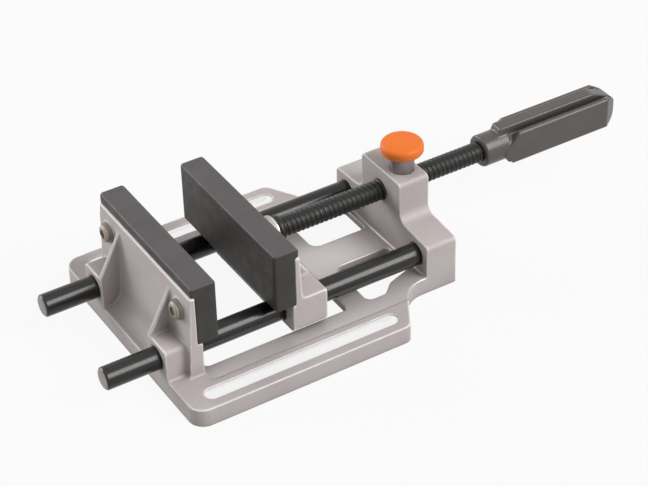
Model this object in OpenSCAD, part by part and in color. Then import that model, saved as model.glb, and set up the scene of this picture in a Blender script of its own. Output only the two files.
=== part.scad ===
// Quick-release drill press vise, 4 inch jaws, shown a third open.
// X runs along the screw, from the fixed jaw to the handle. Z is up from the machine table.
// The origin is on the table, midway between and midway along the two hold-down slots.

/* [Jaws] */
// Width of the gripping faces
jaw_w = 102; // [90:1:110]
// Gap between the gripping faces as shown
jaw_gap = 34.5; // [10:0.5:60]
// Distance from the slots' centre to the fixed gripping face
jaw_face_back = 41; // [39:0.5:43]
// Height of a pad's underside above the table
pad_z = 31.5; // [30:0.5:34]
// Height of a pad
pad_h = 37; // [34:0.5:42]
// Thickness of a pad
pad_t = 12.7; // [11:0.1:15]
// How far a pad's lip reaches over its jaw plate
pad_lip = 2.3; // [1:0.1:3]
// Height of a pad's lip
pad_lip_h = 6; // [4:0.5:8]
// Rounding of a pad's corners
pad_r = 1.5; // [1:0.5:2.5]

/* [Jaw plates] */
// Thickness of a jaw plate along its top edge
plate_top_t = 3; // [2.5:0.1:4]
// Thickness of a jaw plate at its foot
plate_foot_t = 5.6; // [5:0.1:7]
// How far the fixed jaw's ledge stands out under its pad
ledge_d = 3; // [2:0.5:4]
// Thickness of a gusset
gusset_t = 2.8; // [2:0.1:4]
// Height of the gussets' tops above the table
gusset_top_z = 57; // [50:0.5:60]
// Distance from the mid-plane to the inner side of a fixed jaw gusset
gusset_in_y = 27; // [25:0.5:28]
// Radius of the cove between the fixed jaw plate and the floor
cove_r = 10; // [4:0.5:11]

/* [Base] */
// Width over the rails
base_w = 155; // [150:1:165]
// Thickness of the base plate
base_t = 11; // [9:0.5:11.5]
// Distance from the slots' centre to the front edge
base_front = 71; // [69:0.5:74]
// Radius of the front corners
front_corner_r = 14; // [8:1:18]
// Distance from the slots' centre to the rear outer corners of the rails
rail_end = 61.5; // [60:0.5:64]
// Distance from the mid-plane to a rail's inner edge
rail_in_y = 46; // [45:0.5:48]
// Depth of the machined face on the rails' inner parts, the cross bar and the deck
rail_step = 0.6; // [0.4:0.1:2]
// Width of the machined part of a rail
rail_step_w = 12.3; // [8:0.5:12.5]
// Distance from the slots' centre to the front edge of the cross bar
cross_bar_x = 40.8; // [36:0.2:43]
// Width of the cross bar
cross_bar_w = 13.5; // [10:0.5:15]
// Width of the deck from the cross bar to the housing
deck_w = 22.5; // [20:0.5:26]
// Rounding of the front window's corners
window_r = 3; // [2:0.5:6]
// Thickness of the base plate where its underside is hollow
web_t = 5; // [4:0.5:7]

/* [Hold-down slots] */
// Length of a slot
slot_l = 119; // [110:1:120]
// Width of a slot
slot_w = 8.5; // [7:0.5:9]
// Distance between the slots' centre lines
slot_pitch = 133.4; // [132:0.2:136]

/* [Guide rods] */
// Diameter of a guide rod
rod_d = 13; // [11:0.1:14]
// Distance between the rods' axes
rod_pitch = 72; // [71:0.5:74]
// Height of the rods' axes above the table
rod_z = 20.5; // [20:0.1:21.5]
// How far the rods stand out of the front edge
rod_out = 32; // [10:1:45]
// Chamfer of the rods' ends
rod_chamfer = 1; // [0.5:0.1:2]
// Depth of the rods' seats in the housing
rod_seat = 16; // [14:0.5:17]
// Width of a front boss that holds a rod
boss_w = 19.5; // [18:0.5:20]
// Height of the front bosses above the table
boss_z = 30.5; // [29:0.5:31.5]

/* [Rear housing] */
// Distance from the slots' centre to the housing's front face
housing_x = 92.3; // [92:0.1:95]
// Length of the housing along the screw
housing_d = 19.7; // [19.5:0.1:24]
// Width of the housing's lower block
housing_w = 94.6; // [93:0.2:98]
// Height of the lower block at its outer edges
shoulder_z = 30.8; // [30:0.1:33]
// Rise of the shoulders from the outer edges to the tower
shoulder_rise = 2; // [0:0.5:3]
// Width of the tower
tower_w = 39; // [36:0.5:44]
// Height of the tower above the table
tower_z = 57; // [56.5:0.1:60]
// Radius between the tower's sides and the shoulders
tower_fillet = 6; // [3:0.5:8]

/* [Moving jaw] */
// Length of the moving jaw's block, from its plate's face to its rear
block_l = 19.5; // [18:0.5:20.5]
// Height of the block's underside above the table
block_z = 12.3; // [12:0.1:12.8]
// Height of the block's top above the table
block_top_z = 34.4; // [33:0.1:34.6]
// How far the moving jaw's ledge stands out under its pad
block_ledge_d = 2; // [1.5:0.1:4]
// Chamfer along the lower edges of the block's ends
block_chamfer = 3; // [1:0.5:4]
// Distance from the mid-plane to the inner side of a moving jaw gusset
block_gusset_y = 30.5; // [26:0.5:31]
// Diameter of the boss that holds the screw
nose_boss_d = 18; // [17.5:0.1:20]
// Length of that boss from the plate's face
nose_boss_l = 15.8; // [15:0.1:17]

/* [Screw] */
// Outer diameter of the thread
screw_d = 12; // [11:0.1:12.2]
// Height of the screw's axis above the table
screw_z = 43; // [43:0.1:43.5]
// Length of the thread from the collar to the handle
thread_l = 132.5; // [125:0.5:150]
// Diameter of the screw's collar
collar_d = 15; // [14:0.1:16.5]
// Length of the collar
collar_l = 4; // [3:0.1:4.5]
// Diameter of the screw's nose
nose_d = 10; // [9:0.1:10.2]
// Depth of the nose in the moving jaw
nose_l = 13.5; // [12.5:0.1:14]
// Diameter of the neck that the retaining pin sits beside
neck_d = 5.8; // [5:0.1:6]
// Diameter of the tang in the handle
tang_d = 10; // [8:0.1:10.5]
// Length of the tang
tang_l = 22; // [18:0.5:25]
// Thickness of the thrust washer
thrust_t = 1; // [0.6:0.1:1.5]

/* [Handle] */
// Diameter of the hub
hub_d = 19; // [18:0.1:20]
// Length of the handle
handle_l = 95; // [88:0.5:110]
// Width of the grip
grip_w = 20.2; // [19.5:0.1:24]
// Height of the grip's broad sides
grip_side_h = 20.5; // [18:0.1:24]
// Height of the grip over its ribs
grip_h = 26.4; // [26:0.1:28]
// Width of a rib
grip_rib_w = 8.4; // [6:0.1:10]
// Thickness of the broad sides along their edges
grip_side_t = 3; // [2.5:0.1:4]
// Depth of the grooves beside the ribs, from the broad sides' edges
grip_groove_d = 3; // [1:0.1:3.2]
// Distance from the hub's face to the start of the upper rib
grip_start = 10.5; // [9:0.5:12]
// Distance from the hub's face to the start of the lower rib
grip_low_start = 17.5; // [12:0.5:20]
// Length of the slope at the ribs' far ends
grip_slope = 17; // [12:0.5:20]

/* [Quick release] */
// How far the button is pressed down
press_travel = 2.5; // [2:0.1:2.6]
// Length of the nut block along the screw
nut_l = 14.4; // [14:0.1:14.6]
// Width of the nut block
nut_w = 24; // [23.5:0.1:25]
// How far the nut block sits behind the middle of the housing
nut_back = 0.65; // [0:0.05:0.7]
// How far the nut block sits to the near side of the screw
nut_aside = 1; // [0.8:0.1:1.2]
// How far the button sits to the near side of the screw
button_aside = 5.8; // [5:0.1:5.8]
// Height of the nut block below the screw's axis
nut_below = 15; // [12:0.1:18]
// Thickness of the nut block's roof over the screw
nut_roof = 2; // [1.5:0.1:2.2]
// Diameter of the stem
stem_d = 13.8; // [12:0.1:14]
// Diameter of the cap
cap_d = 24.3; // [20:0.1:28]
// Thickness of the cap
cap_t = 6.3; // [4:0.1:8]
// Gap between the cap and the tower
cap_gap = 11.6; // [6:0.1:13]
// Thickness of the plug under the spring
plug_t = 5; // [4:0.1:6]
// Outside diameter of the spring
spring_d = 12.4; // [10:0.1:13]
// Diameter of the spring's wire
spring_wire = 1.5; // [1:0.1:1.8]
// Number of turns in the spring
spring_turns = 6; // [5:1:7]

/* [Fasteners] */
// Diameter of the pad screws
pad_screw_d = 6; // [5:0.1:6]
// Diameter of the pad screws' heads
pad_head_d = 10; // [9:0.1:10.5]
// Height of the pad screws' heads
pad_head_h = 2.4; // [2:0.1:4]
// Height of the pad screws above the table
pad_screw_z = 50; // [48:0.5:52]
// Distance between the fixed pad's screws
pad_screw_pitch = 79; // [77:0.5:80]
// Distance between the moving pad's screws
moving_screw_pitch = 44; // [40:1:46]
// Diameter of the washers
washer_d = 12; // [11:0.1:12.4]
// Thickness of the washers
washer_t = 1.4; // [1:0.1:2]
// Thickness of a jaw plate at its screw seats
seat_t = 4.2; // [4:0.1:5]
// Diameter of the threaded inserts
insert_d = 9; // [8:0.1:10]
// Length of the threaded inserts
insert_l = 8; // [6:0.1:9]
// Diameter of the pins that cross the rods, the nose and the hub
pin_d = 4; // [3:0.1:4.2]
// Wall of the rolled pins
pin_wall = 0.8; // [0.6:0.1:1]

/* [Clearances] */
// Radial clearance of a piece that turns or slides
run_fit = 0.08; // [0.04:0.01:0.1]
// Radial clearance of a piece that is driven or pressed in
press_fit = 0.01; // [0.01:0.01:0.02]
// Gap between flat faces that pass each other
face_gap = 0.2; // [0.1:0.05:0.4]
// Clearance of a screw in its hole
hole_gap = 0.3; // [0.2:0.05:0.5]

/* [Hidden] */

$fn = 64;
arc_step = 12;      // degrees of arc to one side of a rounded outline
eps = 1;            // how far a cut runs past the face it leaves

alloy = [0.74, 0.72, 0.71];
charcoal = [0.28, 0.27, 0.27];
black_steel = [0.13, 0.13, 0.13];
steel = [0.55, 0.54, 0.52];
brass = [0.72, 0.6, 0.35];
orange = [0.93, 0.42, 0.1];
black_plastic = [0.22, 0.21, 0.2];

// The fixed jaw
front_x = -base_front;
face_x = -jaw_face_back;
fixed_back_x = face_x - pad_t;
pad_top_z = pad_z + pad_h;
plate_top_z = pad_top_z - pad_lip_h;
plate_foot_x = fixed_back_x - plate_foot_t;
rod_y = rod_pitch / 2;

// The moving jaw
moving_face_x = face_x + jaw_gap;
moving_back_x = moving_face_x + pad_t;
block_rear_x = moving_back_x + block_l;
boss_end_x = moving_back_x + nose_boss_l;

// The screw, from its nose to the end of its tang
collar_x = boss_end_x + thrust_t + face_gap / 4;
thread_x = collar_x + collar_l;
nose_x = collar_x - nose_l;
hub_x = thread_x + thread_l;
neck_w = pin_d + 2 * face_gap;
neck_x = nose_x + nose_l / 2 - neck_w / 2;
retainer_y = neck_d / 2 + pin_d / 2 + run_fit;
hub_pin_x = hub_x + 6;
retainer_z = block_top_z - 4.5;

// The housing and the nut that moves in it
housing_mid_x = housing_x + housing_d / 2;
nut_x = housing_mid_x + nut_back;
button_x = nut_x + 0.2;
nut_window_z = screw_z + press_travel + run_fit;
nut_top_z = nut_window_z + screw_d / 2 + run_fit + nut_roof;
nut_bottom_z = screw_z - nut_below;
nut_pocket_top_z = nut_top_z + face_gap;
cap_z = tower_z + cap_gap;
stem_top_z = cap_z + cap_t * 0.6;
spring_z0 = plug_t;
spring_z1 = nut_bottom_z;

under_wall = 3;     // least wall beside a pocket in the underside
hollow_d = base_t - web_t;
rim = 0.8;          // chamfer or rounding of a turned edge
corner_r = 2.5;     // rounding of the castings' outer corners
diagonal = 0.59;    // run along X of the rails' rear corners for each millimetre of Y
wide_l = 11.5;      // length of a rear window's wide part
neck_l = 19;        // length to the end of the neck where a rear window narrows
neck_in = 7.2;      // how far a rear window is narrowed at that end
narrow_in = 12.5;   // how far it is narrowed at the housing
straight = 0.9999;  // cosine beyond which a corner counts as straight

// The part of an outline point that is its place
function place(p) = [p[0], p[1]];
function unit(v) = v / norm(v);
// The signed angle from a to b, the short way round
function turn(a, b) = let (d = (b - a) % 360) d > 180 ? d - 360 : d < -180 ? d + 360 : d;
// The arc that rounds corner b, which lies between a and c, to the radius b[2]
function arc_at(a, b, c) =
    let (u = unit(place(a) - place(b)), v = unit(place(c) - place(b)))
    b[2] == 0 || u * v < -straight ? [place(b)] :
    let (half = acos(u * v) / 2,
         mid = place(b) + unit(u + v) * b[2] / sin(half),
         p = place(b) + u * b[2] / tan(half) - mid,
         q = place(b) + v * b[2] / tan(half) - mid,
         a0 = atan2(p[1], p[0]), sweep = turn(a0, atan2(q[1], q[0])),
         n = max(2, ceil(abs(sweep) / arc_step)))
    [for (k = [0:n]) mid + b[2] * [cos(a0 + sweep * k / n), sin(a0 + sweep * k / n)]];
// An outline from points [x, y, radius], with every corner rounded
function rounded(p) = let (n = len(p))
    [for (i = [0:n - 1]) each arc_at(p[(i + n - 1) % n], p[i], p[(i + 1) % n])];
// An outline that is alike on both sides of its first axis, from the points of one side
function both_sides(p) = concat(p, [for (i = [len(p) - 1:-1:0]) [p[i][0], -p[i][1], p[i][2]]]);
// An outline that is alike on both sides of its second axis
function left_right(p) = concat(p, [for (i = [len(p) - 1:-1:0]) [-p[i][0], p[i][1], p[i][2]]]);

// An outline in (y, z), drawn out along X
module along_x(x, l) translate([x, 0, 0]) rotate([90, 0, 90]) linear_extrude(l) children();
// An outline in (x, z), drawn out along Y
module along_y(y, l) translate([0, y + l, 0]) rotate([90, 0, 0]) linear_extrude(l) children();
// A round bar along X
module bar_x(x, l, d, y, z) translate([x, y, z]) rotate([0, 90, 0]) cylinder(h = l, d = d);
// A turned piece about the screw's axis, from its half outline in (radius, x)
module turned(p) translate([0, 0, screw_z]) rotate([0, 90, 0]) rotate_extrude() polygon(p);
// The same thing on both sides of the mid-plane
module pair() for (s = [0, 1]) mirror([0, s, 0]) children();
module pair_at(y) for (s = [-1, 1]) translate([0, s * y, 0]) children();
// A rolled pin along Z, open along one side
module rolled_pin(l)
    difference() {
        cylinder(h = l, d = pin_d);
        translate([0, 0, -eps]) cylinder(h = l + 2 * eps, d = pin_d - 2 * pin_wall);
        translate([0, -pin_wall / 4, -eps]) cube([pin_d, pin_wall / 2, l + 2 * eps]);
    }

// The base casting

module base_outline()
    polygon(rounded(both_sides([
        [front_x, base_w / 2, front_corner_r],
        [rail_end, base_w / 2, 5],
        [rail_end + (base_w - housing_w) / 2 * diagonal, housing_w / 2, 16],
        [housing_x + housing_d, housing_w / 2, corner_r]])));

module slot_outline()
    union() {
        translate([-(slot_l - slot_w) / 2, -slot_w / 2]) square([slot_l - slot_w, slot_w]);
        for (s = [-1, 1]) translate([s * (slot_l - slot_w) / 2, 0]) circle(d = slot_w);
    }

window_x = fixed_back_x + ledge_d + 3;
rear_window_x = cross_bar_x + cross_bar_w;
window_back_x = housing_x - 3;

module front_window()
    polygon(rounded(both_sides([
        [window_x, rail_in_y, window_r],
        [cross_bar_x, rail_in_y, window_r]])));

// One of the two windows beside the deck, narrowed where the rails meet the housing
module rear_window()
    polygon(rounded([
        [rear_window_x, deck_w / 2, 5],
        [window_back_x, deck_w / 2, 2],
        [window_back_x, rail_in_y - narrow_in, 2],
        [rear_window_x + neck_l, rail_in_y - neck_in, 10],
        [rear_window_x + wide_l, rail_in_y, 4],
        [rear_window_x, rail_in_y, 4]]));

// What is machined off the base's top between the fixed jaw and the housing
module machined_top()
    translate([0, 0, base_t - rail_step]) linear_extrude(rail_step + eps)
        polygon(rounded(both_sides([
            [fixed_back_x + ledge_d, rail_in_y + rail_step_w, 3],
            [housing_x, rail_in_y + rail_step_w, 0]])));

// A jaw plate seen from its end, with its gripping side towards +X and its pad's back at x = 0
module plate_outline(foot_z, reach, cove)
    polygon(rounded([
        [ledge_d, foot_z, 0],
        [ledge_d, pad_z, 0.6],
        [0, pad_z, 0],
        [0, plate_top_z, rim],
        [-plate_top_t, plate_top_z, rim],
        [-plate_foot_t, base_t, cove],
        [-reach, base_t, 0],
        [-reach, foot_z, 0]]));

// The lean of a plate's rear face, as a distance from its pad at height z
function plate_back(z) =
    plate_foot_t + (plate_top_t - plate_foot_t) * (z - base_t) / (plate_top_z - base_t);

// The cove between the plate and the floor in front of it, sunk a little into both
module plate_cove() {
    sunk = 0.05;
    arc = arc_at([sunk - plate_top_t, plate_top_z],
        [sunk - plate_foot_t, base_t - sunk, cove_r],
        [fixed_back_x - base_front, base_t - sunk]);
    polygon(concat(arc, [[-1, base_t - sunk], [-1, arc[0][1]]]));
}

module fixed_jaw() {
    translate([fixed_back_x, 0, 0]) {
        along_y(-jaw_w / 2, jaw_w) plate_outline(0, plate_foot_t + 4, 3);
        along_y(-gusset_in_y - eps, 2 * gusset_in_y + 2 * eps) plate_cove();
    }
    pair() {
        along_x(front_x, fixed_back_x - front_x) polygon(rounded([
            [gusset_in_y, 0, 0], [gusset_in_y + boss_w, 0, 0],
            [gusset_in_y + boss_w, boss_z, corner_r], [gusset_in_y, boss_z, 0]]));
        along_y(gusset_in_y, gusset_t) polygon(rounded([
            [front_x, base_t, 0], [fixed_back_x - 1, base_t, 0],
            [fixed_back_x - 1, gusset_top_z, 0],
            [fixed_back_x - plate_back(gusset_top_z), gusset_top_z, 2],
            [front_x, boss_z, 3]]));
        bar_x(fixed_back_x - seat_t, seat_t, washer_d + 1, pad_screw_pitch / 2, pad_screw_z);
    }
}

module housing_body()
    along_x(housing_x, housing_d) polygon(rounded(left_right([
        [housing_w / 2, 0, 0],
        [housing_w / 2, shoulder_z, corner_r],
        [tower_w / 2, shoulder_z + shoulder_rise, tower_fillet],
        [tower_w / 2, tower_z, corner_r]])));

// Hollows in the underside, as the casting's core leaves them
module under_pockets() {
    web_y = slot_pitch / 2 - slot_w / 2 - under_wall;
    skirt = 4;          // wall along the outer sides
    deck_rib = 7;       // rib along the middle of the deck
    side_y = housing_w / 2 - skirt;
    function skirt_x(y) = rail_end + (base_w / 2 - y) * diagonal - 1.2 * skirt;
    nut_side_y = nut_w / 2 + nut_aside + under_wall;
    translate([0, 0, -eps]) linear_extrude(hollow_d + eps) {
        pair() polygon([
            [window_x, rail_in_y - eps], [window_x, web_y], [skirt_x(web_y), web_y],
            [skirt_x(side_y), side_y], [housing_x + housing_d - under_wall, side_y],
            [housing_x + housing_d - under_wall, nut_side_y],
            [window_back_x - eps, nut_side_y],
            [window_back_x - eps, rail_in_y - narrow_in - under_wall],
            [rear_window_x + wide_l, rail_in_y - neck_in + eps],
            [rear_window_x, rail_in_y - eps]]);
        translate([cross_bar_x - eps, -rail_in_y])
            square([cross_bar_w / 2 + eps, 2 * rail_in_y]);
        pair() translate([rear_window_x + under_wall, deck_rib / 2])
            square([window_back_x - rear_window_x - under_wall, (deck_w - deck_rib) / 2 + eps]);
        translate([front_x + under_wall + 1, -gusset_in_y + under_wall])
            square([fixed_back_x - front_x - under_wall - 1, 2 * gusset_in_y - 2 * under_wall]);
    }
    pair() translate([housing_x + under_wall, nut_side_y, -eps])
        cube([housing_d - 2 * under_wall, rod_y - rod_d / 2 - under_wall - nut_side_y,
            shoulder_z - under_wall + eps]);
}

module base_casting()
    color(alloy) difference() {
        union() {
            linear_extrude(base_t) base_outline();
            fixed_jaw();
            housing_body();
        }
        translate([0, 0, -eps]) linear_extrude(base_t + 2 * eps) {
            pair_at(slot_pitch / 2) slot_outline();
            front_window();
            pair() rear_window();
        }
        machined_top();
        under_pockets();
        pair_at(rod_y) {
            bar_x(front_x - eps, fixed_back_x + ledge_d + 2 * eps - front_x,
                rod_d + 2 * press_fit, 0, rod_z);
            bar_x(housing_x - eps, rod_seat + eps, rod_d + 2 * press_fit, 0, rod_z);
            translate([housing_mid_x, 0, -eps])
                cylinder(h = rod_z + rod_d / 2 + eps, d = pin_d + 2 * press_fit);
        }
        pair_at(pad_screw_pitch / 2)
            bar_x(fixed_back_x - seat_t - eps, seat_t + 2 * eps, pad_screw_d + 2 * hole_gap,
                0, pad_screw_z);
        bar_x(housing_x - eps, housing_d + 2 * eps, screw_d + 2 * run_fit, 0, screw_z);
        translate([nut_x - nut_l / 2 - run_fit, -nut_aside - nut_w / 2 - run_fit, -eps])
            cube([nut_l + 2 * run_fit, nut_w + 2 * run_fit, nut_pocket_top_z + eps]);
        translate([button_x, -button_aside, nut_top_z - eps])
            cylinder(h = tower_z - nut_top_z + 2 * eps, d = stem_d + 2 * run_fit);
    }

// The guide rods and the pins that hold them

module guide_rod(y)
    color(black_steel) difference() {
        translate([front_x - rod_out, y, rod_z]) rotate([0, 90, 0]) union() {
            cylinder(h = rod_chamfer, d1 = rod_d - 2 * rod_chamfer, d2 = rod_d);
            translate([0, 0, rod_chamfer])
                cylinder(h = housing_x + rod_seat - front_x + rod_out - 2 * rod_chamfer, d = rod_d);
            translate([0, 0, housing_x + rod_seat - front_x + rod_out - rod_chamfer])
                cylinder(h = rod_chamfer, d1 = rod_d, d2 = rod_d - 2 * rod_chamfer);
        }
        translate([housing_mid_x, y, rod_z - rod_d])
            cylinder(h = 2 * rod_d, d = pin_d + 2 * press_fit);
    }
module guide_rod_near() guide_rod(-rod_y);
module guide_rod_far() guide_rod(rod_y);

module rod_roll_pins()
    color(steel) pair_at(rod_y)
        translate([housing_mid_x, 0, hollow_d + rim])
            rolled_pin(rod_z + rod_d / 2 - hollow_d - 2 * rim);

// The jaws

module moving_jaw_casting()
    color(alloy) difference() {
        union() {
            translate([moving_back_x, 0, 0]) mirror([1, 0, 0]) {
                along_y(-jaw_w / 2, jaw_w) polygon(rounded([
                    [block_ledge_d, block_z, 1],
                    [block_ledge_d, pad_z, 0.6],
                    [0, pad_z, 0],
                    [0, plate_top_z, rim],
                    [-plate_top_t, plate_top_z, rim],
                    [-plate_back(block_top_z), block_top_z, 2],
                    [-block_l, block_top_z, 1.2],
                    [-block_l, block_z, 1.5]]));
                pair() {
                    along_y(block_gusset_y, gusset_t) polygon(rounded([
                        [-1, block_top_z - 2, 0], [-1, gusset_top_z, 0],
                        [-plate_back(gusset_top_z), gusset_top_z, 2],
                        [-block_l + 0.5, block_top_z, 1],
                        [-block_l + 0.5, block_top_z - 2, 0]]));
                    bar_x(-seat_t, seat_t, washer_d + 1, moving_screw_pitch / 2, pad_screw_z);
                }
            }
            bar_x(moving_back_x, nose_boss_l, nose_boss_d, 0, screw_z);
            translate([moving_back_x, -nose_d / 2 - under_wall, block_top_z - 1])
                cube([nose_boss_l, nose_d + 2 * under_wall, screw_z - block_top_z + 1]);
        }
        pair_at(rod_y) bar_x(moving_back_x - block_ledge_d - eps,
            block_l + block_ledge_d + 2 * eps, rod_d + 2 * run_fit, 0, rod_z);
        pair() along_x(moving_back_x - block_ledge_d - eps, block_l + block_ledge_d + 2 * eps)
            polygon([
                [jaw_w / 2 - block_chamfer - eps, block_z - eps],
                [jaw_w / 2 + eps, block_z - eps],
                [jaw_w / 2 + eps, block_z + block_chamfer + eps]]);
        pair_at(moving_screw_pitch / 2) bar_x(moving_back_x - eps, seat_t + 2 * eps,
            pad_screw_d + 2 * hole_gap, 0, pad_screw_z);
        bar_x(nose_x - face_gap, boss_end_x - nose_x + face_gap + eps, nose_d + 2 * run_fit,
            0, screw_z);
        translate([neck_x + neck_w / 2, retainer_y, retainer_z])
            cylinder(h = screw_z, d = pin_d + 2 * press_fit);
        pair() translate([moving_back_x + under_wall / 2, under_wall, block_z - eps])
            cube([block_l - 1.5 * under_wall, rod_y - rod_d / 2 - 2 * under_wall,
                block_top_z - block_z - 2 * under_wall + eps]);
    }

// A pad with its gripping face at x = 0 and its back and lip towards -X
module pad(pitch)
    color(charcoal) difference() {
        intersection() {
            along_y(-jaw_w / 2, jaw_w) polygon(rounded([
                [0, pad_z, pad_r],
                [0, pad_top_z, pad_r],
                [-pad_t - pad_lip, pad_top_z, pad_r],
                [-pad_t - pad_lip, plate_top_z, 0.6],
                [-pad_t, plate_top_z, 0],
                [-pad_t, pad_z, 0.6]]));
            linear_extrude(pad_top_z + eps) polygon(rounded(both_sides([
                [-pad_t - pad_lip, jaw_w / 2, pad_r / 2],
                [0, jaw_w / 2, pad_r]])));
        }
        pair_at(pitch / 2)
            bar_x(-pad_t - eps, insert_l + eps, insert_d + 2 * press_fit, 0, pad_screw_z);
    }
module fixed_jaw_pad() on_fixed_jaw() pad(pad_screw_pitch);
module moving_jaw_pad() on_moving_jaw() pad(moving_screw_pitch);

// What holds a pad, in the pad's own place: screws, washers and threaded inserts
module pad_screws(pitch)
    color(brass) pair_at(pitch / 2) difference() {
        union() {
            bar_x(-pad_t - seat_t - washer_t, seat_t + washer_t + insert_l - 1, pad_screw_d,
                0, pad_screw_z);
            translate([-pad_t - seat_t - washer_t, 0, pad_screw_z]) rotate([0, -90, 0])
                union() {
                    cylinder(h = pad_head_h - rim, d = pad_head_d);
                    translate([0, 0, pad_head_h - rim])
                        cylinder(h = rim, d1 = pad_head_d, d2 = pad_head_d - 2 * rim);
                }
        }
        translate([-pad_t - seat_t - washer_t - pad_head_h - eps, 0, pad_screw_z])
            rotate([0, 90, 0]) cylinder(h = eps + pad_head_h / 2, d = pad_head_d / 2, $fn = 6);
    }
module pad_washers(pitch)
    color(steel) pair_at(pitch / 2) difference() {
        bar_x(-pad_t - seat_t - washer_t, washer_t, washer_d, 0, pad_screw_z);
        bar_x(-pad_t - seat_t - washer_t - eps, washer_t + 2 * eps, pad_screw_d + hole_gap,
            0, pad_screw_z);
    }
module pad_inserts(pitch)
    color(brass) pair_at(pitch / 2) difference() {
        bar_x(-pad_t, insert_l, insert_d, 0, pad_screw_z);
        bar_x(-pad_t - eps, insert_l + 2 * eps, pad_screw_d + 2 * press_fit, 0, pad_screw_z);
    }
module on_fixed_jaw() translate([face_x, 0, 0]) children();
module on_moving_jaw() translate([moving_face_x, 0, 0]) mirror([1, 0, 0]) children();

// The screw, its thrust washer and the pin that keeps it in the jaw

module lead_screw()
    color(black_steel) difference() {
        turned([
            [0, nose_x], [nose_d / 2 - rim, nose_x], [nose_d / 2, nose_x + rim],
            [nose_d / 2, neck_x], [neck_d / 2, neck_x],
            [neck_d / 2, neck_x + neck_w], [nose_d / 2, neck_x + neck_w],
            [nose_d / 2, collar_x], [collar_d / 2 - rim, collar_x], [collar_d / 2, collar_x + rim],
            [collar_d / 2, thread_x - rim], [collar_d / 2 - rim, thread_x],
            [screw_d / 2, thread_x], [screw_d / 2, hub_x - rim], [screw_d / 2 - rim, hub_x],
            [tang_d / 2, hub_x], [tang_d / 2, hub_x + tang_l - rim],
            [tang_d / 2 - rim, hub_x + tang_l], [0, hub_x + tang_l]]);
        translate([hub_pin_x, -tang_d, screw_z]) rotate([-90, 0, 0])
            cylinder(h = 2 * tang_d, d = pin_d + 2 * press_fit);
    }

module thrust_washer()
    color(steel) difference() {
        bar_x(boss_end_x, thrust_t, collar_d, 0, screw_z);
        bar_x(boss_end_x - eps, thrust_t + 2 * eps, nose_d + 2 * run_fit, 0, screw_z);
    }

retainer_top_z = screw_z + sqrt(pow(nose_boss_d / 2, 2) - pow(retainer_y, 2)) - rim;
module screw_retaining_pin()
    color(steel) translate([neck_x + neck_w / 2, retainer_y, retainer_z])
        cylinder(h = retainer_top_z - retainer_z, d = pin_d);

// The handle

module grip_section() {
    w = grip_w / 2;
    h = grip_side_h / 2;
    rib = grip_rib_w / 2;
    floor_h = h - grip_groove_d;
    groove_w = w - grip_side_t - rib;
    groove_r = groove_w * 0.3;
    p = [[w, h, grip_side_t * 0.75], [w - grip_side_t, h, 0.6],
        [rib + groove_w * 0.8, floor_h, groove_r], [rib, floor_h, groove_r],
        [rib, grip_h / 2, 1.2]];
    polygon(rounded([for (q = [[1, 1], [-1, 1], [-1, -1], [1, -1]])
        each [for (k = q[0] * q[1] > 0 ? [0:4] : [4:-1:0])
            [q[0] * p[k][0], q[1] * p[k][1], p[k][2]]]]));
}

// The grip beyond the hub, with slopes where its broad sides and its ends begin
module grip_body() {
    tip_x = grip_start + 2; // where the broad sides' front tip stands
    tip_z = -2;         // height of that tip from the axis
    tip_h = 1.5;        // its half height
    upper_l = 15.3;     // length of the front's upper slope, up to over the rib
    lower_l = 11.4;     // length of its lower slope
    over_rib = (grip_h + eps) / 2;
    end_tip_h = 2.5;    // half height of the far end
    end_h = 7.2;        // half height where the far end's rounding starts
    end_w = 4.5;        // half width of the far end
    end_l = 9.5;        // length of the far end's taper seen from above
    intersection() {
        along_x(grip_start, handle_l - grip_start) grip_section();
        along_y(-grip_w, 2 * grip_w) polygon(rounded(concat(
            [[tip_x, tip_z + tip_h, 0], [grip_start + upper_l, over_rib, 0]],
            both_sides([
                [handle_l - grip_slope, grip_h / 2, 9],
                [handle_l - 3, end_h, 5],
                [handle_l, end_tip_h, end_tip_h]]),
            [[grip_start + lower_l, -over_rib, 0], [tip_x, tip_z - tip_h, 0]])));
        translate([0, 0, -grip_h]) linear_extrude(2 * grip_h) polygon(rounded(both_sides([
            [grip_start - 1, grip_w / 2 + 1, 0],
            [handle_l - end_l - 3, grip_w / 2 + 1, 0],
            [handle_l - end_l, grip_w / 2, 5],
            [handle_l, end_w, 4]])));
    }
}

// The front end of a rib, from its start to where the broad sides are at full height
module rib_front(start)
    intersection() {
        along_x(grip_start, 20) grip_section();
        along_y(-grip_rib_w / 2, grip_rib_w) polygon(rounded([
            [start, 0, 0], [start, hub_d / 2 - 1, 0], [start + 2, grip_h / 2, 2],
            [grip_start + 18, grip_h / 2, 0], [grip_start + 18, 0, 0]]));
    }

// The blind hole for the pin is drilled from the far side.
hub_pin_y = hub_d / 2 - 3;
hub_l = grip_start + 6;     // length of the hub before it narrows inside the grip
hub_taper_l = 6;            // length over which it narrows
hub_end_t = 1.5;            // wall round the tang's bore at its end
module handle_grip()
    color(black_plastic) translate([hub_x, 0, screw_z]) difference() {
        union() {
            rotate([0, 90, 0]) rotate_extrude() polygon([
                [0, 0], [hub_d / 2 - rim, 0], [hub_d / 2, rim], [hub_d / 2, hub_l],
                [tang_d / 2 + hub_end_t, hub_l + hub_taper_l], [0, hub_l + hub_taper_l]]);
            grip_body();
            rib_front(grip_start);
            mirror([0, 0, 1]) rib_front(grip_low_start);
        }
        translate([-eps, 0, 0]) rotate([0, 90, 0])
            cylinder(h = tang_l + face_gap + eps, d = tang_d + 2 * press_fit);
        translate([hub_pin_x - hub_x, -hub_pin_y, 0]) rotate([-90, 0, 0])
            cylinder(h = hub_d, d = pin_d + 2 * press_fit);
    }

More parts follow.
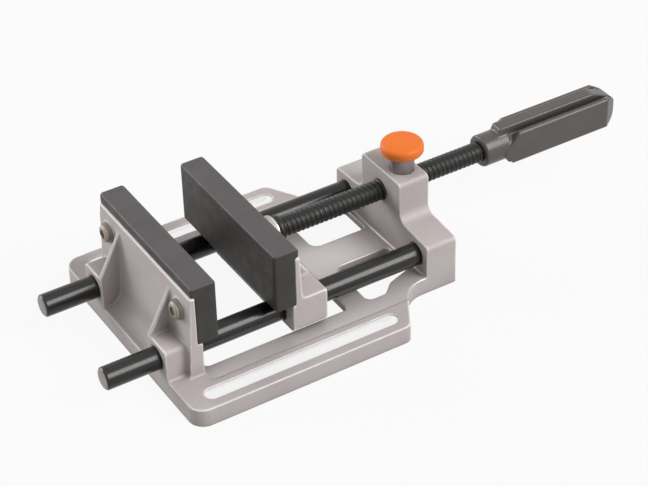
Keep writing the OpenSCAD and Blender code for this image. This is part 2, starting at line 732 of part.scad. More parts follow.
module handle_roll_pin()
    color(steel) translate([hub_pin_x, -hub_pin_y + face_gap / 2, screw_z]) rotate([-90, 0, 0])
        rolled_pin(hub_pin_y + hub_d / 2 - rim);

// The quick release: a nut block that a spring lifts against the screw, and its button

// The lower half of the opening fits the thread. The upper half clears it when pressed.
module nut_window(x, l) {
    bar_x(x, l, screw_d + 2 * run_fit, 0, screw_z);
    bar_x(x, l, screw_d + 2 * run_fit, 0, nut_window_z);
    translate([x, -screw_d / 2 - run_fit, screw_z])
        cube([l, screw_d + 2 * run_fit, nut_window_z - screw_z]);
}

module release_nut()
    color(steel) difference() {
        union() {
            translate([nut_x - nut_l / 2, -nut_aside - nut_w / 2, nut_bottom_z])
                cube([nut_l, nut_w, nut_top_z - nut_bottom_z]);
            translate([button_x, -button_aside, nut_top_z - eps])
                cylinder(h = stem_top_z - nut_top_z + eps, d = stem_d);
        }
        nut_window(nut_x - nut_l, 2 * nut_l);
    }

module release_cap()
    color(orange) translate([button_x, -button_aside, 0]) difference() {
        rotate_extrude() polygon(rounded([
            [0, cap_z, 0], [cap_d / 2, cap_z, rim],
            [cap_d / 2, cap_z + cap_t, cap_t * 0.3], [0, cap_z + cap_t, 0]]));
        translate([0, 0, cap_z - eps])
            cylinder(h = stem_top_z - cap_z + eps, d = stem_d + 2 * press_fit);
    }

// A coil of round wire, with its end turns closed
wire_sides = 6;
turn_rings = 12;
coil_r = (spring_d - spring_wire) / 2;
function coil_lift(t) = // height of the wire's centre after t of all the turns
    let (flat = 1 / spring_turns, rise = spring_z1 - spring_z0 - 3 * spring_wire)
    spring_z0 + spring_wire / 2 + (t < flat ? spring_wire * 1.04 * t / flat :
        t > 1 - flat ? spring_wire * 1.04 + rise - 0.08 * spring_wire
            + spring_wire * 1.04 * (t - 1 + flat) / flat :
        spring_wire * 1.04 + (rise - 0.08 * spring_wire) * (t - flat) / (1 - 2 * flat));
function coil_point(i, k) =
    let (t = i / (spring_turns * turn_rings), a = 360 * i / turn_rings, b = 360 * k / wire_sides,
         r = coil_r + spring_wire / 2 * cos(b))
    [r * cos(a), r * sin(a), coil_lift(t) + spring_wire / 2 * sin(b)];
coil_rings = spring_turns * turn_rings;
coil_points = [for (i = [0:coil_rings], k = [0:wire_sides - 1]) coil_point(i, k)];
coil_faces = concat(
    [[for (k = [0:wire_sides - 1]) k]],
    [for (i = [0:coil_rings - 1], k = [0:wire_sides - 1], h = [0, 1])
        let (a = i * wire_sides + k, b = i * wire_sides + (k + 1) % wire_sides)
        h == 0 ? [a, a + wire_sides, b + wire_sides] : [a, b + wire_sides, b]],
    [[for (k = [wire_sides - 1:-1:0]) coil_rings * wire_sides + k]]);

module release_spring()
    color(steel) translate([nut_x, -nut_aside, 0]) polyhedron(coil_points, coil_faces);

module spring_plug()
    color(steel) translate([nut_x, -nut_aside, 0]) difference() {
        translate([-nut_l / 2, -nut_w / 2, rim]) cube([nut_l, nut_w, plug_t - rim]);
        translate([0, 0, rim - eps]) cylinder(h = eps + 1, d = pin_d);
    }

base_casting();
guide_rod_near();
guide_rod_far();
rod_roll_pins();
moving_jaw_casting();
fixed_jaw_pad();
moving_jaw_pad();
on_fixed_jaw() pad_screws(pad_screw_pitch);  // fixed_pad_screws
on_fixed_jaw() pad_washers(pad_screw_pitch);  // fixed_pad_washers
on_fixed_jaw() pad_inserts(pad_screw_pitch);  // fixed_pad_inserts
on_moving_jaw() pad_screws(moving_screw_pitch);  // moving_pad_screws
on_moving_jaw() pad_washers(moving_screw_pitch);  // moving_pad_washers
on_moving_jaw() pad_inserts(moving_screw_pitch);  // moving_pad_inserts
lead_screw();
thrust_washer();
screw_retaining_pin();
handle_grip();
handle_roll_pin();
release_nut();
release_cap();
release_spring();
spring_plug();
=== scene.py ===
import math

import bmesh
import bpy
from mathutils import Matrix, Vector


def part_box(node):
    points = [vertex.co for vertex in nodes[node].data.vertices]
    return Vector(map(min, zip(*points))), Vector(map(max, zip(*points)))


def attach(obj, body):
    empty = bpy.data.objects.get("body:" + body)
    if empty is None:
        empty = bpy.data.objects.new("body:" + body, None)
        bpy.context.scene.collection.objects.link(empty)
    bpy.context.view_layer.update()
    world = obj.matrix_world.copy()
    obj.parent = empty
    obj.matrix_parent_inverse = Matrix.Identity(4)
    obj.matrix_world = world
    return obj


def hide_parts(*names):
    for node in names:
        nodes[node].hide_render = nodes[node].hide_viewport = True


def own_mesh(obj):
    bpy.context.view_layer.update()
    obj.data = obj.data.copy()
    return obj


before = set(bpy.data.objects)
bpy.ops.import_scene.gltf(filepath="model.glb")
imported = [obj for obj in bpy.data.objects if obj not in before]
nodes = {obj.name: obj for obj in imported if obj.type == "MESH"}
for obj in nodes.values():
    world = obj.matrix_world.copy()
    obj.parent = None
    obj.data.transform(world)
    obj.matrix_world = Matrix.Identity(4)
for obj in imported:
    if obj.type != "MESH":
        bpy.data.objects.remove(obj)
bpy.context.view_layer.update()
scene = bpy.context.scene

# One millimetre in metres. The pieces made from sections are given in millimetres.
MM = 0.001

# Heights of the base's milled faces and of its rails' outer parts, in metres
MILLED_Z, RAIL_Z = 0.0104, 0.011


def ease(t):
    """A soft step from 0 to 1 as t goes from 0 to 1."""
    t = min(1.0, max(0.0, t))
    return t * t * (3 - 2 * t)


# Materials

# The sockets of a Mix node: its share, two numbers, two colours, and the outputs of both kinds
SHARE, NUMBER_A, NUMBER_B, COLOUR_A, COLOUR_B = 0, 2, 3, 6, 7
NUMBER_OUT, COLOUR_OUT = 0, 2


class Finish:
    """The node tree of a material or a world, whose nodes are added and joined by short calls."""

    def __init__(self, owner, output="OutputMaterial"):
        owner.use_nodes = True
        self.owner = owner
        self.tree = owner.node_tree
        self.tree.nodes.clear()
        self.out = self.add(output)

    def add(self, kind, values=(), **settings):
        """A node with its settings, and its inputs as numbers, colours or other nodes' outputs."""
        node = self.tree.nodes.new("ShaderNode" + kind)
        for key, value in settings.items():
            setattr(node, key, value)
        for key, value in dict(values).items():
            if isinstance(value, bpy.types.NodeSocket):
                self.tree.links.new(value, node.inputs[key])
            else:
                node.inputs[key].default_value = value
        return node

    def place(self):
        return self.add("TexCoord").outputs["Object"]

    def split(self, where):
        return self.add("SeparateXYZ", {0: where}).outputs

    def noise(self, where, scale, detail=3.0, rough=0.55):
        return self.add("TexNoise", {"Vector": where, "Scale": scale, "Detail": detail,
                                     "Roughness": rough}).outputs["Fac"]

    def spread(self, value, low, high, to_low=0.0, to_high=1.0):
        """The value's part between low and high, as a number from to_low to to_high."""
        return self.add("MapRange", {"Value": value, "From Min": low, "From Max": high,
                                     "To Min": to_low, "To Max": to_high},
                        interpolation_type="SMOOTHSTEP").outputs["Result"]

    def patches(self, where, scale, detail=3.0, to_low=0.0, to_high=1.0):
        """A number from to_low to to_high that varies over the surface in soft patches."""
        return self.spread(self.noise(where, scale, detail), 0.3, 0.7, to_low, to_high)

    def above(self, value, level, blend):
        """0 up to the level and 1 from level + blend on."""
        return self.spread(value, level, level + blend)

    def below(self, value, level, blend):
        """1 up to the level and 0 from level + blend on."""
        return self.spread(value, level, level + blend, 1.0, 0.0)

    def math(self, operation, a, b=0.0):
        return self.add("Math", {0: a, 1: b}, operation=operation).outputs[0]

    def product(self, first, *others):
        for other in others:
            first = self.math("MULTIPLY", first, other)
        return first

    def mix(self, share, a, b):
        """A colour between a and b."""
        return self.add("Mix", {SHARE: share, COLOUR_A: a, COLOUR_B: b},
                        data_type="RGBA").outputs[COLOUR_OUT]

    def mix_number(self, share, a, b):
        """A number between a and b."""
        return self.add("Mix", {SHARE: share, NUMBER_A: a, NUMBER_B: b},
                        data_type="FLOAT").outputs[NUMBER_OUT]

    def painted_corner_shade(self, distance, most, closed=0.25, open_from=0.85):
        """How much painted shade darkens a colour in corners and grooves, where the ambient
        occlusion finds them.
        """
        open_share = self.add("AmbientOcclusion", {"Distance": distance}, samples=8).outputs["AO"]
        return self.spread(open_share, closed, open_from, most, 0.0)

    def bump(self, height, depth, strength=1.0):
        return self.add("Bump", {"Height": height, "Distance": depth,
                                 "Strength": strength}).outputs["Normal"]

    def seen(self):
        """1 for what the camera sees, straight or by gloss or glass, and 0 for other light."""
        ray = self.add("LightPath").outputs
        by_way_of = self.math("MAXIMUM", ray["Is Glossy Ray"], ray["Is Transmission Ray"])
        return self.math("MAXIMUM", ray["Is Camera Ray"], by_way_of)

    def surface(self, values, kind="BsdfPrincipled"):
        """Ends the tree in a shader of that kind, and gives its material or world."""
        shader = self.add(kind, values)
        self.tree.links.new(shader.outputs[0], self.out.inputs["Surface"])
        return self.owner


def finish(name):
    return Finish(bpy.data.materials.new(name))


def rgb(r, g, b):
    return (r, g, b, 1.0)


def tone(color, factor):
    return (color[0] * factor, color[1] * factor, color[2] * factor, 1.0)


def plain_finish(name, color, rough, metallic=0.0, specular=0.5, grain=900.0, depth=0.00001,
                 uneven=0.12):
    """Colour and roughness vary a little over the surface, over a fine grain."""
    f = finish(name)
    where = f.place()
    less, more = 1 - uneven, 1 + uneven
    return f.surface({
        "Base Color": f.mix(f.patches(where, 45.0, 4.0), tone(color, less), tone(color, more)),
        "Roughness": f.patches(where, 130.0, 3.0, rough * less, rough * more),
        "Metallic": metallic,
        "Specular IOR Level": specular,
        "Normal": f.bump(f.noise(where, grain), depth)})


# The castings' colours: blasted, milled, painted shade for the corners, worn and painted highlight
# for the edges, and bright
CAST, MILLED = rgb(0.48, 0.432, 0.425), rgb(0.60, 0.555, 0.545)
CORNER_SHADE, WORN_HIGHLIGHT, BRIGHT = rgb(0.14, 0.125, 0.115), rgb(0.80, 0.77, 0.76), rgb(0.93, 0.93, 0.93)

# Their roughness, and how far the milled faces are metallic
CAST_ROUGH, MILLED_ROUGH, BRIGHT_ROUGH = (0.46, 0.58), 0.36, 0.06
MILLED_METALLIC = 0.3

# How strongly the grain shows on the cast and on the milled faces
CAST_GRAIN, MILLED_GRAIN = 0.6, 0.02

# How pointed an edge is where its wear and painted highlight start, and where they are full
WORN_HIGHLIGHT_EDGE = (0.508, 0.545)

# Only edges above the first height get wear and a painted highlight, and above the second, on the
# plates' tops, all does.
WORN_HIGHLIGHT_FROM_Z, PLATE_HIGHLIGHT_FROM_Z = 0.0100, 0.0610


def casting_finish(name, machined):
    """Blasted casting, darker in its corners by painted shade, and lighter along its edges by wear
    and a painted highlight. machined(f, where) gives the shares of milled face and of bright wall."""
    f = finish(name)
    where = f.place()
    colour = f.mix(f.patches(where, 28.0, 5.0), tone(CAST, 0.94), tone(CAST, 1.05))
    speck = f.spread(f.noise(where, 700.0, 2.0), 0.35, 0.75)
    colour = f.mix(f.product(speck, 0.15), colour, tone(CAST, 0.8))
    # Painted shade: the colour darkens in corners and recesses, where the ambient occlusion finds
    # them.
    colour = f.mix(f.painted_corner_shade(distance=0.006, most=0.35), colour, CORNER_SHADE)
    milled, bright = machined(f, where)
    colour = f.mix(milled, colour, MILLED)
    # Painted shade again, over a wider reach, in the gussets' pockets and along walls.
    wide = f.painted_corner_shade(distance=0.025, most=0.5, closed=0.15, open_from=0.72)
    colour = f.mix(wide, colour, CORNER_SHADE)

    height = f.split(where)["Z"]
    # Wear and a painted highlight lighten the pointed edges, and the plates' tops all over.
    edge = f.spread(f.add("NewGeometry").outputs["Pointiness"], *WORN_HIGHLIGHT_EDGE)
    edge = f.product(edge, f.spread(f.noise(where, 90.0), 0.2, 0.6, 0.5, 0.8),
                     f.spread(milled, 0.0, 0.5, 1.0, 0.0), f.above(height, WORN_HIGHLIGHT_FROM_Z, 0.0006))
    wear_highlight = f.math("MAXIMUM", edge, f.above(height, PLATE_HIGHLIGHT_FROM_Z, 0.0006))
    colour = f.mix(wear_highlight, colour, WORN_HIGHLIGHT)
    colour = f.mix(bright, colour, BRIGHT)

    rough = f.patches(where, 160.0, 3.0, *CAST_ROUGH)
    rough = f.mix_number(milled, rough, MILLED_ROUGH)
    rough = f.mix_number(bright, rough, BRIGHT_ROUGH)
    coarse = f.product(f.noise(where, 260.0, 2.0), 0.8)
    grain = f.math("ADD", f.noise(where, 1100.0), coarse)
    return f.surface({
        "Base Color": colour,
        "Roughness": rough,
        "Metallic": f.math("MAXIMUM", f.product(milled, MILLED_METALLIC), bright),
        "Specular IOR Level": 0.45,
        "Normal": f.bump(grain, 0.00003, f.spread(milled, 0.0, 1.0, CAST_GRAIN, MILLED_GRAIN))})


# The base's milled faces reach this far to the sides, the front and the rear, in metres
MILLED_SIDE, MILLED_FRONT, MILLED_REAR = 0.0582, -0.0507, 0.0921

# The slots' centre lines, and half the width and length that their walls lie within
SLOT_Y, SLOT_HALF_WIDTH, SLOT_HALF_LENGTH = 0.0667, 0.0044, 0.0599


def base_machined(f, where):
    """The rails' inner parts, the cross bar and the deck are milled, and the slots' walls are
    bright."""
    split = f.split(where)
    x, y, z = split["X"], f.math("ABSOLUTE", split["Y"]), split["Z"]
    face = f.product(f.above(z, MILLED_Z - 0.0006, 0.0002), f.below(z, MILLED_Z + 0.0004, 0.0002),
                     f.below(y, MILLED_SIDE, 0.0004),
                     f.above(x, MILLED_FRONT, 0.0004), f.below(x, MILLED_REAR, 0.0004))
    from_slot = f.math("ABSOLUTE", f.math("SUBTRACT", y, SLOT_Y))
    wall = f.product(f.below(from_slot, SLOT_HALF_WIDTH, 0.0001),
                     f.below(f.math("ABSOLUTE", x), SLOT_HALF_LENGTH, 0.0003),
                     f.below(z, RAIL_Z - 0.0010, 0.0003))
    return face, wall


# The rear face of the screw's boss on the moving jaw, in metres: from this far back, from this
# height, and this far to the sides
BOSS_REAR, BOSS_LOW, BOSS_SIDE = 0.0214, 0.0358, 0.0130


def jaw_machined(f, where):
    """The rear face of the screw's boss is turned, and no wall is bright."""
    split = f.split(where)
    face = f.product(f.above(split["X"], BOSS_REAR, 0.0003), f.above(split["Z"], BOSS_LOW, 0.0004),
                     f.below(f.math("ABSOLUTE", split["Y"]), BOSS_SIDE, 0.0004))
    return face, 0.0


# The pads' tops are painted paler from this height up, as a painted sheen, in metres.
SHEEN_FROM_Z = 0.0672


def pad_finish():
    """Moulded charcoal, lighter on the tops by a painted sheen."""
    f = finish("charcoal")
    where = f.place()
    dark, sheen_top = rgb(0.043, 0.040, 0.036), rgb(0.088, 0.080, 0.081)
    cloud = f.patches(where, 45.0, 4.0)
    side = f.mix(cloud, tone(dark, 0.88), tone(dark, 1.12))
    top = f.mix(cloud, tone(sheen_top, 0.93), tone(sheen_top, 1.07))
    return f.surface({
        # Painted sheen: the tops are paler than the sides.
        "Base Color": f.mix(f.above(f.split(where)["Z"], SHEEN_FROM_Z, 0.0009), side, top),
        "Roughness": f.patches(where, 130.0, 3.0, 0.46, 0.58),
        "Specular IOR Level": 0.28,
        "Normal": f.bump(f.noise(where, 1300.0), 0.00003)})


def grip_finish():
    """Moulded dark plastic, darker in the grooves by painted shade."""
    f = finish("grip_dark")
    where = f.place()
    base, groove_shade = rgb(0.083, 0.074, 0.068), rgb(0.02, 0.017, 0.018)
    colour = f.mix(f.patches(where, 60.0), tone(base, 0.95), tone(base, 1.06))
    return f.surface({
        # Painted shade darkens the grooves.
        "Base Color": f.mix(f.painted_corner_shade(distance=0.004, most=0.8), colour, groove_shade),
        "Roughness": f.patches(where, 130.0, 3.0, 0.29, 0.34),
        "Specular IOR Level": 0.4,
        "Normal": f.bump(f.noise(where, 1500.0), 0.00002)})


cast_base = casting_finish("cast_base", base_machined)
cast_jaw = casting_finish("cast_jaw", jaw_machined)
black_rod = plain_finish("black_rod", rgb(0.007, 0.006, 0.0045), rough=0.25, specular=0.42,
                         grain=300.0, depth=0.0000001, uneven=0.03)
rod_end = plain_finish("rod_end", rgb(0.23, 0.215, 0.205), rough=0.45, metallic=0.2, specular=0.4)
thread_black = plain_finish("thread_black", rgb(0.008, 0.0075, 0.0065), rough=0.44, specular=0.36,
                            grain=700.0, depth=0.000004)
steel = plain_finish("steel", rgb(0.45, 0.44, 0.43), rough=0.35, metallic=0.9)
nut_dark = plain_finish("nut_dark", rgb(0.27, 0.255, 0.25), rough=0.34, metallic=0.7, grain=700.0)
washer_dark = plain_finish("washer_dark", rgb(0.30, 0.26, 0.24), rough=0.45, metallic=0.4,
                           grain=700.0)
brassy = plain_finish("brassy", rgb(0.33, 0.28, 0.245), rough=0.46, metallic=0.5, grain=600.0)
brass = plain_finish("brass", rgb(0.7, 0.52, 0.27), rough=0.35, metallic=0.9, grain=600.0)
charcoal = pad_finish()
grip_dark = grip_finish()
orange = plain_finish("orange", rgb(0.79, 0.180, 0.028), rough=0.42, specular=0.2, uneven=0.03)


# Mesh pieces

def mesh_piece(name, shape, materials, body, marks=None, sharp=50.0):
    """A new piece from points and faces, in metres, that rides on a body. marks gives each face's
    material, and edges that turn by more than sharp degrees stay sharp."""
    verts, faces = shape
    mesh = bpy.data.meshes.new(name)
    mesh.from_pydata([tuple(v) for v in verts], [], faces)
    mesh.validate()
    for m in materials:
        mesh.materials.append(m)
    mesh.polygons.foreach_set("use_smooth", [True] * len(mesh.polygons))
    if marks:
        mesh.polygons.foreach_set("material_index", marks)
    mesh.update()
    mesh.set_sharp_from_angle(angle=math.radians(sharp))
    obj = bpy.data.objects.new(name, mesh)
    scene.collection.objects.link(obj)
    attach(obj, body)
    return obj


def turned(sections, sides, turn, places):
    """Points and faces of turned solids, one at each place. Each section is (distance along the
    axis, radius), in millimetres, where the radius may be a function of the angle. turn takes
    (distance, u, v) to the row frame."""
    verts, faces = [], []
    for place in places:
        start = len(verts)
        offset = Vector([v * MM for v in place])
        for along, radius in sections:
            for k in range(sides):
                a = 2 * math.pi * k / sides
                r = (radius(a) if callable(radius) else radius) * MM
                verts.append(Vector(turn(along * MM, r * math.cos(a), r * math.sin(a))) + offset)
        last = start + (len(sections) - 1) * sides
        for ring in range(start, last, sides):
            for k in range(sides):
                a, b = ring + k, ring + (k + 1) % sides
                faces.append((a, b, b + sides, a + sides))
        faces.append(tuple(start + k for k in range(sides))[::-1])
        faces.append(tuple(last + k for k in range(sides)))
    return verts, faces


def along_x(along, u, v):
    return along, u, v


def along_z(along, u, v):
    return u, v, along


def hexagon(half_width):
    """A hexagon's radius at each angle, from half its width across flats."""
    def radius(a):
        return half_width / math.cos((a + math.pi / 6) % (math.pi / 3) - math.pi / 6)
    return radius


def square_foot(mesh):
    """Cuts what reaches below the table off the mesh, and closes it there."""
    bm = bmesh.new()
    bm.from_mesh(mesh)
    bmesh.ops.bisect_plane(bm, geom=bm.verts[:] + bm.edges[:] + bm.faces[:], plane_co=(0, 0, 0),
                           plane_no=(0, 0, 1), clear_inner=True)
    bmesh.ops.triangle_fill(bm, use_beauty=True, edges=[e for e in bm.edges if e.is_boundary],
                            normal=(0, 0, -1))
    bmesh.ops.recalc_face_normals(bm, faces=bm.faces)
    bm.to_mesh(mesh)
    bm.free()


# A point this near a height is taken to lie at it, in metres: the table's, and a flat face's
AT_TABLE, AT_FLAT = 0.00001, 0.0001


def rounded_copy(node, name, material, body, voxel, passes=3, foot=0.0, reshape=None,
                 flats=()):
    """The node's solid with every edge rounded, as casting and moulding leave it. foot is how far
    it is drawn down before the rounding, so that the edges on the table stay square. flats are
    the heights whose faces are made quite even, and reshape moves each point after that."""
    source = nodes[node].data.copy()
    bm = bmesh.new()
    bm.from_mesh(source)
    bmesh.ops.remove_doubles(bm, verts=bm.verts, dist=1e-6)
    for v in bm.verts:
        if v.co.z < AT_TABLE:
            v.co.z -= foot
    bm.to_mesh(source)
    bm.free()
    obj = bpy.data.objects.new(name, source)
    scene.collection.objects.link(obj)
    remesh = obj.modifiers.new("remesh", "REMESH")
    remesh.mode, remesh.voxel_size, remesh.use_smooth_shade = "VOXEL", voxel, True
    smooth = obj.modifiers.new("smooth", "SMOOTH")
    smooth.factor, smooth.iterations = 0.5, passes
    graph = bpy.context.evaluated_depsgraph_get()
    mesh = bpy.data.meshes.new_from_object(obj.evaluated_get(graph))
    obj.modifiers.clear()
    obj.data = mesh
    if foot:
        square_foot(mesh)
    for v in mesh.vertices:
        for level in flats:
            if abs(v.co.z - level) < AT_FLAT:
                v.co.z = level
        if reshape:
            v.co = reshape(*v.co)
    mesh.materials.clear()
    mesh.materials.append(material)
    mesh.polygons.foreach_set("use_smooth", [True] * len(mesh.polygons))
    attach(obj, body)
    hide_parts(node)
    return obj


def box_mm(node):
    low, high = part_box(node)
    return [v / MM for v in low], [v / MM for v in high]


# The base's front corners are rounder in the solid than they are here, in metres.
SOLID_CORNER, CORNER = 0.014, 0.009

# Points this near the rounding's centre stay, and those outside them move more and more until
# this much further out.
STILL, FADE = 0.0085, 0.0045

front_x, base_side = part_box("base_casting")[0][0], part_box("base_casting")[1][1]


def front_corner(x, y, z):
    """Draws a point at a front corner outwards, from the solid's rounding to the tighter one."""
    along, across = front_x + SOLID_CORNER - x, abs(y) - (base_side - SOLID_CORNER)
    reach = math.hypot(along, across)
    if along <= 0 or across <= 0 or reach < STILL:
        return x, y, z
    c, s = along / reach, across / reach
    offset = SOLID_CORNER - CORNER
    if s * SOLID_CORNER <= c * offset:
        edge = SOLID_CORNER / c
    elif c * SOLID_CORNER <= s * offset:
        edge = SOLID_CORNER / s
    else:
        edge = offset * (c + s) + math.sqrt(CORNER ** 2 - (offset * (c - s)) ** 2)
    grow = 1 + (edge / SOLID_CORNER - 1) * ease((reach - STILL) / FADE)
    return (front_x + SOLID_CORNER - along * grow,
            math.copysign(base_side - SOLID_CORNER + across * grow, y), z)


rounded_copy("base_casting", "base_body", cast_base, "base", voxel=0.0006, passes=4,
             foot=0.002, reshape=front_corner, flats=(MILLED_Z, RAIL_Z))
rounded_copy("moving_jaw_casting", "jaw_body", cast_jaw, "moving_jaw", voxel=0.0007)
rounded_copy("fixed_jaw_pad", "pad_fixed", charcoal, "base", voxel=0.0006)
rounded_copy("moving_jaw_pad", "pad_moving", charcoal, "moving_jaw", voxel=0.0006)
rounded_copy("handle_grip", "handle_body", grip_dark, "screw", voxel=0.0005)

# A turned piece's end is closed by a face of this radius, in millimetres.
POINT = 0.2

# The guide rods' ends: the distance from the end, and how much the radius is less there. The
# front end is bare over its first rings.
ROD_FRONT = ((0, 1.5), (0.06, 1.15), (0.3, 0.75), (0.9, 0.12), (1.3, 0), (1.6, 0))
ROD_REAR = ((-1.3, 0), (-1, 0), (0, 1))
ROD_SIDES, BARE_RINGS = 72, 3

for side in ("near", "far"):
    low, high = box_mm("guide_rod_" + side)
    r = (high[1] - low[1]) / 2
    y, z = (low[1] + high[1]) / 2, (low[2] + high[2]) / 2
    sections = [(low[0], POINT)] + [(low[0] + along, r - less) for along, less in ROD_FRONT]
    sections += [(high[0] + along, r - less) for along, less in ROD_REAR] + [(high[0], POINT)]
    shape = turned(sections, ROD_SIDES, along_x, [(0, y, z)])
    bare = ROD_SIDES * BARE_RINGS
    marks = [1] * bare + [0] * (len(shape[1]) - 2 - bare) + [1, 0]
    rod = mesh_piece("rod_" + side, shape, [black_rod, rod_end], "base", marks)
    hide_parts("guide_rod_" + side)

# The lead screw, with its real thread: its pitch and its radii, in millimetres
PITCH = 3.0
CREST, ROOT, NOSE, NECK, COLLAR = 6.0, 5.45, 5.0, 2.9, 7.5

# Where the neck is behind the nose's end, the collar's length, and the chamfers
NECK_FROM, NECK_TO, COLLAR_LENGTH, CHAMFER = 4.55, 8.95, 4, 0.8

STEPS_A_TURN, SCREW_SIDES = 12, 40

low, high = box_mm("lead_screw")
collar_low = box_mm("thrust_washer")[1][0] + 0.05
collar_end = collar_low + COLLAR_LENGTH
hub_x = box_mm("handle_grip")[0][0]


def thread_radius(x):
    """The thread's radius at a distance along the screw, as a function of the angle."""
    def radius(a):
        part = (x / PITCH - a / (2 * math.pi)) % 1.0
        from_root = min(part, 1.0 - part) * 2
        return ROOT + (CREST - ROOT) * ease((from_root - 0.3) / 0.3)
    return radius


sections = [(low[0], POINT), (low[0], NOSE - CHAMFER), (low[0] + CHAMFER, NOSE),
            (low[0] + NECK_FROM, NOSE), (low[0] + NECK_FROM, NECK),
            (low[0] + NECK_TO, NECK), (low[0] + NECK_TO, NOSE),
            (collar_low, NOSE), (collar_low, COLLAR - CHAMFER), (collar_low + CHAMFER, COLLAR),
            (collar_end - CHAMFER, COLLAR), (collar_end, COLLAR - CHAMFER),
            (collar_end, 5.2), (collar_end + 0.2, ROOT)]
for i in range(int((hub_x - collar_end - 1) / PITCH * STEPS_A_TURN) + 1):
    x = collar_end + 0.5 + i * PITCH / STEPS_A_TURN
    sections.append((x, thread_radius(x)))
sections += [(hub_x - 0.1, ROOT), (hub_x, NOSE), (high[0] - CHAMFER, NOSE),
             (high[0], NOSE - CHAMFER), (high[0], POINT)]
shape = turned(sections, SCREW_SIDES, along_x, [(0, 0, (low[2] + high[2]) / 2)])
screw = mesh_piece("screw_thread", shape, [thread_black], "screw")
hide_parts("lead_screw")

# The pads' screws, with rounded heads and hexagon sockets: the distance from the head's face,
# inwards where it is below 0, and the radius
socket = hexagon(2.5)
HEAD = [(-1.3, 0.05), (-1.3, socket), (0.0, socket), (0.0, 2.8), (-0.06, 3.5), (-0.3, 4.2),
        (-0.75, 4.75), (-1.3, 5.0), (-2.25, 5.0), (-2.4, 4.85), (-2.4, 3.0)]
TIP = [(0.6, 3.0), (0.0, 2.4), (0.0, 0.1)]
HEAD_RADIUS, SCREW_HEAD_SIDES = 5, 48

for name, node, body, sign in (("bolts_fixed", "fixed_pad_screws", "base", -1),
                               ("bolts_moving", "moving_pad_screws", "moving_jaw", 1)):
    low, high = box_mm(node)
    face, tip = (low[0], high[0]) if sign < 0 else (high[0], low[0])
    y, z = high[1] - HEAD_RADIUS, (low[2] + high[2]) / 2
    sections = [(face + sign * along, r) for along, r in HEAD]
    sections += [(tip + sign * along, r) for along, r in TIP]
    shape = turned(sections, SCREW_HEAD_SIDES, along_x, [(0, -y, z), (0, y, z)])
    bolts = mesh_piece(name, shape, [brassy], body, sharp=40.0)
    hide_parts(node)

# The push button's cap: the recess for the stem, the skirt, the side and the round top edge
RECESS_DEPTH, RECESS = 2.9, 6.92
CAP_EDGE = ((2.6, 0), (1.8, 0.17), (1.0, 0.7), (0.45, 1.5), (0.15, 2.5), (0.03, 3.6), (0, 5))
CAP_SIDES = 96

low, high = box_mm("release_cap")
r, cx, cy = (high[0] - low[0]) / 2, (low[0] + high[0]) / 2, (low[1] + high[1]) / 2
sections = [(low[2] + RECESS_DEPTH, 0.05), (low[2] + RECESS_DEPTH, RECESS), (low[2], RECESS),
            (low[2], r - 0.9), (low[2] + 0.25, r - 0.3), (low[2] + 0.9, r)]
sections += [(high[2] - down, r - less) for down, less in CAP_EDGE] + [(high[2], 0.05)]
shape = turned(sections, CAP_SIDES, along_z, [(cx, cy, 0)])
cap = mesh_piece("button_cap", shape, [orange], "release")
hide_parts("release_cap")

# The spring, wound from round wire, with its first and last turns close: the wire's thickness and
# the button's travel in millimetres, the turns, and the rings a turn and points a ring of the mesh
WIRE, PRESS, TURNS, RINGS, SIDES = 1.5, 2.5, 6, 30, 12

low, high = box_mm("release_spring")
coil_r = (high[0] - low[0] - WIRE) / 2
cx, cy = (low[0] + high[0]) / 2, (low[1] + high[1]) / 2
z0, z1 = low[2] + WIRE / 2, high[2] - WIRE / 2
verts, faces = [], []
for i in range(TURNS * RINGS + 1):
    t, a = i / (TURNS * RINGS), 2 * math.pi * i / RINGS
    if t < 1 / TURNS:
        lift = z0 + WIRE * t * TURNS
    elif t > 1 - 1 / TURNS:
        lift = z1 - WIRE * (1 - t) * TURNS
    else:
        lift = z0 + WIRE + (z1 - z0 - 2 * WIRE) * (t - 1 / TURNS) / (1 - 2 / TURNS)
    for k in range(SIDES):
        b = 2 * math.pi * k / SIDES
        r = coil_r + WIRE / 2 * math.cos(b)
        verts.append(((cx + r * math.cos(a)) * MM, (cy + r * math.sin(a)) * MM,
                      (lift + WIRE / 2 * math.sin(b)) * MM))
for i in range(TURNS * RINGS):
    for k in range(SIDES):
        a, b = i * SIDES + k, i * SIDES + (k + 1) % SIDES
        faces.append((a, a + SIDES, b + SIDES, b))
faces.append(tuple(range(SIDES)))
faces.append(tuple(TURNS * RINGS * SIDES + k for k in range(SIDES))[::-1])
coil = mesh_piece("spring_coil", (verts, faces), [steel], "base", sharp=60.0)
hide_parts("release_spring")
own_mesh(coil)

# The CAD nodes that stay
for material, names in (
        (steel, ("rod_roll_pins", "thrust_washer", "screw_retaining_pin", "handle_roll_pin",
                 "spring_plug")),
        (washer_dark, ("fixed_pad_washers", "moving_pad_washers")),
        (brass, ("fixed_pad_inserts", "moving_pad_inserts")),
        (nut_dark, ("release_nut",))):
    for node in names:
        nodes[node].data.materials.clear()
        nodes[node].data.materials.append(material)


# The floor, the light and the camera

# The floor shows this share of plain white, and the rest takes the object's shadow.
FLOOR_WHITE = 0.92
FLOOR_REACH, FLOOR_Z = 6, -0.0001

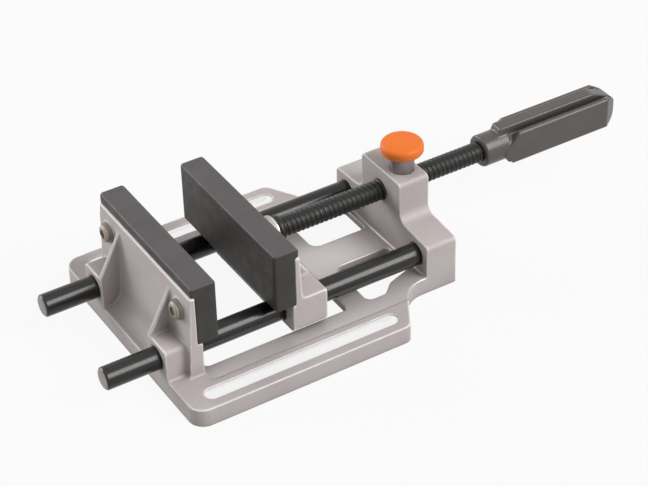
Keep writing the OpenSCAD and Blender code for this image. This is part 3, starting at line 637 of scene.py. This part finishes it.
white = finish("floor_white")
floor_share = white.product(white.seen(), FLOOR_WHITE)
matte = white.add("BsdfDiffuse", {"Color": rgb(0.5, 0.5, 0.5)}).outputs[0]
glow = white.add("Emission", {"Color": rgb(1, 1, 1), "Strength": 1.0}).outputs[0]
floor_mesh = bpy.data.meshes.new("floor")
floor_mesh.from_pydata([(u * FLOOR_REACH, v * FLOOR_REACH, FLOOR_Z)
                        for u, v in ((-1, -1), (1, -1), (1, 1), (-1, 1))], [], [(0, 1, 2, 3)])
floor_mesh.materials.append(white.surface({0: floor_share, 1: matte, 2: glow}, "MixShader"))
floor = bpy.data.objects.new("floor", floor_mesh)
scene.collection.objects.link(floor)

# The world is white where it is seen, and lights the object more weakly.
WORLD_LIGHT = 0.21

sky = Finish(bpy.data.worlds.new("studio"), "OutputWorld")
strength = sky.spread(sky.seen(), 0.0, 1.0, WORLD_LIGHT, 1.0)
scene.world = sky.surface({"Color": rgb(1, 1, 1), "Strength": strength}, "Background")


def sun(name, towards, strength, spread):
    """A lamp in that direction from the object, as wide as the angle given."""
    data = bpy.data.lights.new(name, "SUN")
    data.energy, data.angle = strength, math.radians(spread)
    lamp = bpy.data.objects.new(name, data)
    lamp.rotation_mode = "QUATERNION"
    lamp.rotation_quaternion = Vector(towards).to_track_quat("Z", "Y")
    scene.collection.objects.link(lamp)


sun("key", (0.43, -0.62, 0.655), strength=2.75, spread=38.0)
sun("side", (-0.5, 0.8, 0.25), strength=2.2, spread=40.0)
sun("front", (-0.95, 0.15, 0.1), strength=0.35, spread=50.0)
sun("top", (-0.2, 0.1, 1), strength=0.4, spread=60.0)

# The camera's place in metres, and its directions to the right, up and back
CAMERA_PLACE = (-0.425184, -0.800524, 0.726775)
CAMERA_AXES = ((0.849464, -0.527244, -0.020592), (0.332177, 0.504046, 0.797243),
               (-0.409962, -0.68407, 0.603307))

camera = bpy.data.objects.new("camera", bpy.data.cameras.new("camera"))
camera.data.sensor_width = 36.0
camera.data.lens = 116.002
camera.data.clip_start, camera.data.clip_end = 0.05, 50.0
camera.matrix_world = (Matrix.Translation(CAMERA_PLACE)
                       @ Matrix(CAMERA_AXES).transposed().to_4x4())
scene.collection.objects.link(camera)
scene.camera = camera
scene.view_settings.view_transform = "Standard"
